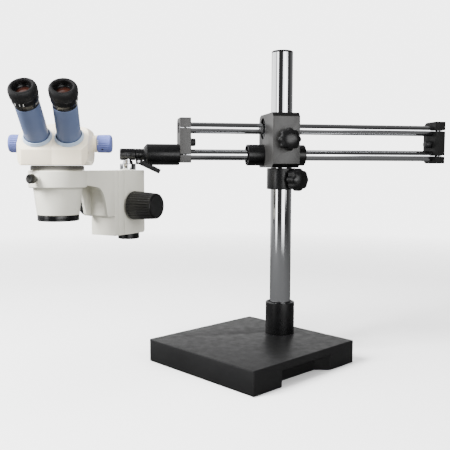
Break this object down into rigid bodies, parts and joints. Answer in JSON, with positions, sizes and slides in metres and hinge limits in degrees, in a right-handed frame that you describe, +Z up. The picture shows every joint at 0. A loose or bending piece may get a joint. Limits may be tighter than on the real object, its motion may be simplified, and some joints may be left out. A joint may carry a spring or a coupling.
{
  "type": "stereo microscope",
  "caption": "Zoom stereo microscope head with angled eye tubes, hung from a rack focus mount on a sliding double-rail boom stand with a heavy square base.",
  "frame": {"origin": "centre of the base's underside", "axes": "+Z up, +Y towards the rear edge of the base where the pillar stands, +X to the right; the base's underside lies in the plane Z = 0"},
  "size_m": [0.4214, 0.7938, 0.55],
  "materials": {
    "stand_black": "fine satin black powder coat on the base, collars, barrel and knuckle",
    "casting_grey": "finely textured dark grey coat on the carriage block and end brackets",
    "knob_black": "moulded black plastic",
    "chrome": "polished hard chrome",
    "steel": "turned and zinc-plated steel",
    "brass": "machined brass",
    "rubber": "soft black rubber",
    "light_grey": "semi-gloss greyish white paint",
    "cream": "semi-gloss warm cream paint",
    "tube_blue": "satin slate blue paint",
    "ring_blue": "satin light blue paint",
    "knob_blue": "moulded lavender blue plastic",
    "eyepiece_black": "black anodised aluminium",
    "glass": "coated optical glass"
  },
  "bodies": {
    "stand": {"base_plate": "stand_black", "base_socket": "stand_black", "pillar": "chrome", "pillar_cap": "stand_black", "pillar_bolt": "steel"},
    "collar": {"stop_collar": "stand_black"},
    "collar_knob": {"collar_knob": "knob_black"},
    "carriage": {"carriage_block": "casting_grey", "upper_bearing": "steel", "lower_sleeve": "stand_black", "lower_bushing": "brass"},
    "pillar_lock": {"pillar_lock_knob": "knob_black"},
    "boom_lock": {"boom_lock_knob": "knob_black"},
    "boom": {"upper_rail": "chrome", "lower_rail": "chrome", "bracket_left": "casting_grey", "bracket_right": "casting_grey", "clamp_screw_upper_left": "steel", "clamp_screw_lower_left": "steel", "clamp_screw_upper_right": "steel", "clamp_screw_lower_right": "steel", "bumper_left": "rubber", "bumper_right": "rubber", "arm_barrel": "stand_black"},
    "lever": {"clamp_lever": "stand_black"},
    "knuckle": {"knuckle": "stand_black", "knuckle_set_screw": "steel"},
    "focus_mount": {"mount_pin": "chrome", "pin_cap": "stand_black", "focus_housing": "light_grey", "dovetail_guide": "light_grey"},
    "focus_slide": {"slide_plate": "light_grey", "focus_rack": "brass", "focus_arm": "light_grey"},
    "pinion": {"pinion_shaft": "steel", "focus_knob_left": "knob_black", "focus_knob_right": "knob_black"},
    "thumb_screw": {"ring_thumb_screw": "steel"},
    "head": {"head_body": "light_grey", "objective_bezel": "eyepiece_black", "objective_lens": "glass", "housing_left": "cream", "housing_right": "cream", "flange_left": "ring_blue", "flange_right": "ring_blue", "prism_left": "glass", "prism_right": "glass"},
    "zoom": {"zoom_shaft": "steel", "zoom_knob_left": "knob_blue", "zoom_knob_right": "knob_blue"},
    "zoom_carriage": {"zoom_carriage": "brass"},
    "tube_left": {"eyetube_left": "tube_blue"},
    "tube_right": {"eyetube_right": "tube_blue"},
    "dioptre_left": {"eyepiece_left": "eyepiece_black", "eyecup_left": "rubber", "eye_lens_left": "glass"},
    "dioptre_right": {"eyepiece_right": "eyepiece_black", "eyecup_right": "rubber", "eye_lens_right": "glass"}
  },
  "joints": [
    {"name": "collar_height", "type": "slide", "parent": "stand", "child": "collar", "axis": [0, 0, 1], "range_m": [-0.15, 0.1]},
    {"name": "collar_knob_turn", "type": "hinge", "parent": "collar", "child": "collar_knob", "pos_m": [0, 0.076, 0.322], "axis": [0.9925, -0.1219, 0], "range_deg": [-180, 180]},
    {"name": "boom_swivel", "type": "hinge", "parent": "collar", "child": "carriage", "pos_m": [0, 0.076, 0.343], "axis": [0, 0, 1], "continuous": true},
    {"name": "pillar_lock_turn", "type": "hinge", "parent": "carriage", "child": "pillar_lock", "pos_m": [0, 0.076, 0.392], "axis": [0.8392, -0.5438, 0], "range_deg": [-180, 180]},
    {"name": "boom_lock_turn", "type": "hinge", "parent": "carriage", "child": "boom_lock", "pos_m": [-0.03441, 0.09829, 0.366], "axis": [-0.8392, 0.5438, 0], "range_deg": [-180, 180]},
    {"name": "boom_slide", "type": "slide", "parent": "carriage", "child": "boom", "axis": [0.5438, 0.8392, 0], "range_m": [-0.24, 0.09]},
    {"name": "clamp_lever_turn", "type": "hinge", "parent": "boom", "child": "lever", "pos_m": [-0.17307, -0.11571, 0.3535], "axis": [0.8392, -0.5438, 0], "range_deg": [-5, 75]},
    {"name": "arm_roll", "type": "hinge", "parent": "boom", "child": "knuckle", "pos_m": [-0.18285, -0.13082, 0.366], "axis": [0.5438, 0.8392, 0], "range_deg": [-20, 45]},
    {"name": "pin_swivel", "type": "hinge", "parent": "knuckle", "child": "focus_mount", "pos_m": [-0.18285, -0.13082, 0.338], "axis": [0, 0, 1], "range_deg": [-155, 40]},
    {"name": "focus_travel", "type": "slide", "parent": "focus_mount", "child": "focus_slide", "axis": [0, 0, 1], "range_m": [-0.022, 0.022]},
    {"name": "focus_knob_turn", "type": "hinge", "parent": "focus_mount", "child": "pinion", "pos_m": [-0.17619, -0.15283, 0.277], "axis": [-0.957, -0.29, 0], "range_deg": [-170, 170]},
    {"name": "thumb_screw_turn", "type": "hinge", "parent": "focus_slide", "child": "thumb_screw", "pos_m": [-0.13152, -0.30021, 0.326], "axis": [0.29, -0.957, 0], "range_deg": [-180, 180]},
    {"name": "head_turn", "type": "hinge", "parent": "focus_slide", "child": "head", "pos_m": [-0.13152, -0.30021, 0.338], "axis": [0, 0, 1], "continuous": true},
    {"name": "zoom_travel", "type": "slide", "parent": "head", "child": "zoom_carriage", "axis": [0, 0, 1], "range_m": [-0.012, 0.012]},
    {"name": "zoom_turn", "type": "hinge", "parent": "head", "child": "zoom", "pos_m": [-0.15414, -0.2805, 0.3805], "axis": [0.657, 0.7539, 0], "range_deg": [-80, 80]},
    {"name": "tube_swing_left", "type": "hinge", "parent": "head", "child": "tube_left", "pos_m": [-0.12819, -0.33475, 0.3883], "axis": [0, 0, -1], "range_deg": [-0.9, 7.2]},
    {"name": "tube_swing_right", "type": "hinge", "parent": "head", "child": "tube_right", "pos_m": [-0.09685, -0.29879, 0.3883], "axis": [0, 0, 1], "range_deg": [-0.9, 7.2]},
    {"name": "dioptre_turn_left", "type": "hinge", "parent": "tube_left", "child": "dioptre_left", "pos_m": [-0.12819, -0.33475, 0.3883], "axis": [0.5003, -0.4997, 0.7071], "range_deg": [-60, 60]},
    {"name": "dioptre_turn_right", "type": "hinge", "parent": "tube_right", "child": "dioptre_right", "pos_m": [-0.09685, -0.29879, 0.3883], "axis": [0.5635, -0.4272, 0.7071], "range_deg": [-60, 60]}
  ],
  "couplings": [
    {"joint": "focus_knob_turn", "follows": "focus_travel", "rad_per_m": 133.33},
    {"joint": "zoom_turn", "follows": "zoom_travel", "rad_per_m": 116.28},
    {"joint": "tube_swing_right", "follows": "tube_swing_left", "ratio": 1}
  ]
}
